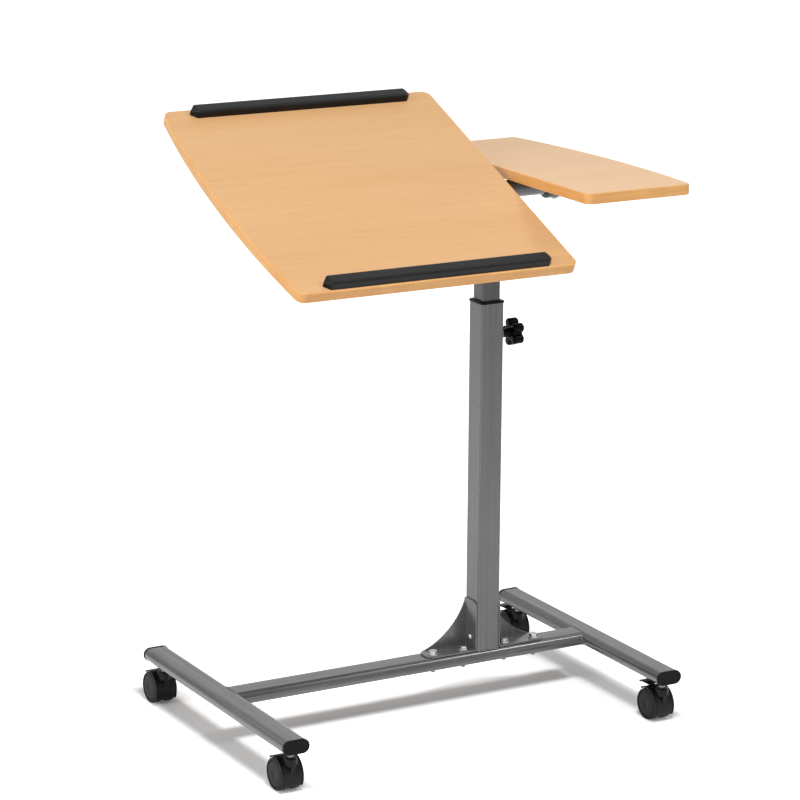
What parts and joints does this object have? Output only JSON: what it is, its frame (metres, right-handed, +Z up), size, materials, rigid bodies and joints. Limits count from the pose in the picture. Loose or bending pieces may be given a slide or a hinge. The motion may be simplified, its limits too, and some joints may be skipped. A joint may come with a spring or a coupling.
{
  "type": "laptop cart",
  "caption": "Rolling laptop cart with a tilting main board, a level side board, a telescopic square post and an H base on twin-wheel casters.",
  "frame": {"origin": "on the floor under the middle of the whole cart", "axes": "+X to the right of the person at the cart, +Y away from them, +Z up"},
  "size_m": [0.562, 0.4036, 0.7664],
  "materials": {
    "frame_paint": "satin",
    "board": "satin",
    "edge_band": "satin",
    "black_plastic": "matte",
    "caster_plastic": "satin",
    "wheel_plastic": "satin",
    "bracket_paint": "satin",
    "zinc_steel": "zinc plated"
  },
  "bodies": {
    "base": {"foot_tube_left": "frame_paint", "foot_tube_right": "frame_paint", "cross_bar": "frame_paint", "cap_front_left": "black_plastic", "cap_front_right": "black_plastic", "cap_back_left": "black_plastic", "cap_back_right": "black_plastic", "outer_post": "frame_paint", "post_sleeve": "black_plastic", "height_nut": "frame_paint", "gusset_left": "frame_paint", "gusset_right": "frame_paint", "gusset_bolts": "zinc_steel", "bar_nuts": "zinc_steel", "post_screws": "zinc_steel", "stem_nuts": "zinc_steel", "caster_stems": "zinc_steel"},
    "height_knob": {"height_knob": "black_plastic", "height_stud": "zinc_steel"},
    "lift": {"inner_post": "frame_paint", "post_glide": "black_plastic", "pivot_tube": "frame_paint", "tube_plugs": "black_plastic", "saddle_inner": "bracket_paint", "saddle_outer": "bracket_paint", "saddle_screws": "zinc_steel", "side_board_screws": "zinc_steel", "side_board": "board", "side_edge_band": "edge_band"},
    "tilt": {"main_board": "board", "main_edge_band": "edge_band", "front_ledge": "black_plastic", "back_ledge": "black_plastic", "clamp_right": "bracket_paint", "clamp_left": "bracket_paint", "clamp_screws": "zinc_steel", "ledge_screws": "zinc_steel", "clamp_bolt": "zinc_steel", "clamp_nut": "zinc_steel", "tilt_nut": "zinc_steel"},
    "tilt_knob": {"tilt_knob": "black_plastic", "tilt_stud": "zinc_steel"},
    "swivel_front_left": {"hood_front_left": "caster_plastic"},
    "wheels_front_left": {"wheels_front_left": "wheel_plastic", "axle_front_left": "zinc_steel"},
    "swivel_front_right": {"hood_front_right": "caster_plastic"},
    "wheels_front_right": {"wheels_front_right": "wheel_plastic", "axle_front_right": "zinc_steel"},
    "pedal_front_right": {"pedal_front_right": "caster_plastic"},
    "swivel_back_left": {"hood_back_left": "caster_plastic"},
    "wheels_back_left": {"wheels_back_left": "wheel_plastic", "axle_back_left": "zinc_steel"},
    "swivel_back_right": {"hood_back_right": "caster_plastic"},
    "wheels_back_right": {"wheels_back_right": "wheel_plastic", "axle_back_right": "zinc_steel"},
    "pedal_back_right": {"pedal_back_right": "caster_plastic"}
  },
  "joints": [
    {"name": "height", "type": "slide", "parent": "base", "child": "lift", "axis": [0, 0, 1], "range_m": [-0.11, 0.16]},
    {"name": "tilt", "type": "hinge", "parent": "lift", "child": "tilt", "pos_m": [0.104, -0.00267, 0.6595], "axis": [1, 0, 0], "range_deg": [-22.9, 12.1]},
    {"name": "height_knob_turn", "type": "hinge", "parent": "base", "child": "height_knob", "pos_m": [0.134, -0.00267, 0.477], "axis": [1, 0, 0], "range_deg": [0, 360]},
    {"name": "tilt_knob_turn", "type": "hinge", "parent": "tilt", "child": "tilt_knob", "pos_m": [-0.1915, -0.01176, 0.62961], "axis": [0, -0.9212, -0.3891], "range_deg": [0, 360]},
    {"name": "swivel_front_left", "type": "hinge", "parent": "base", "child": "swivel_front_left", "pos_m": [-0.2635, -0.18217, 0.04], "axis": [0, 0, 1], "continuous": true},
    {"name": "spin_front_left", "type": "hinge", "parent": "swivel_front_left", "child": "wheels_front_left", "pos_m": [-0.2635, -0.16717, 0.02], "axis": [1, 0, 0], "continuous": true},
    {"name": "swivel_front_right", "type": "hinge", "parent": "base", "child": "swivel_front_right", "pos_m": [0.26, -0.18217, 0.04], "axis": [0, 0, 1], "continuous": true},
    {"name": "spin_front_right", "type": "hinge", "parent": "swivel_front_right", "child": "wheels_front_right", "pos_m": [0.26, -0.16717, 0.02], "axis": [1, 0, 0], "continuous": true},
    {"name": "brake_front_right", "type": "hinge", "parent": "swivel_front_right", "child": "pedal_front_right", "pos_m": [0.26, -0.15917, 0.04474], "axis": [1, 0, 0], "range_deg": [-10, 0]},
    {"name": "swivel_back_left", "type": "hinge", "parent": "base", "child": "swivel_back_left", "pos_m": [-0.2635, 0.16683, 0.04], "axis": [0, 0, 1], "continuous": true},
    {"name": "spin_back_left", "type": "hinge", "parent": "swivel_back_left", "child": "wheels_back_left", "pos_m": [-0.2635, 0.18183, 0.02], "axis": [1, 0, 0], "continuous": true},
    {"name": "swivel_back_right", "type": "hinge", "parent": "base", "child": "swivel_back_right", "pos_m": [0.26, 0.16683, 0.04], "axis": [0, 0, 1], "continuous": true},
    {"name": "spin_back_right", "type": "hinge", "parent": "swivel_back_right", "child": "wheels_back_right", "pos_m": [0.26, 0.18183, 0.02], "axis": [1, 0, 0], "continuous": true},
    {"name": "brake_back_right", "type": "hinge", "parent": "swivel_back_right", "child": "pedal_back_right", "pos_m": [0.26, 0.18983, 0.04474], "axis": [1, 0, 0], "range_deg": [-10, 0]}
  ]
}
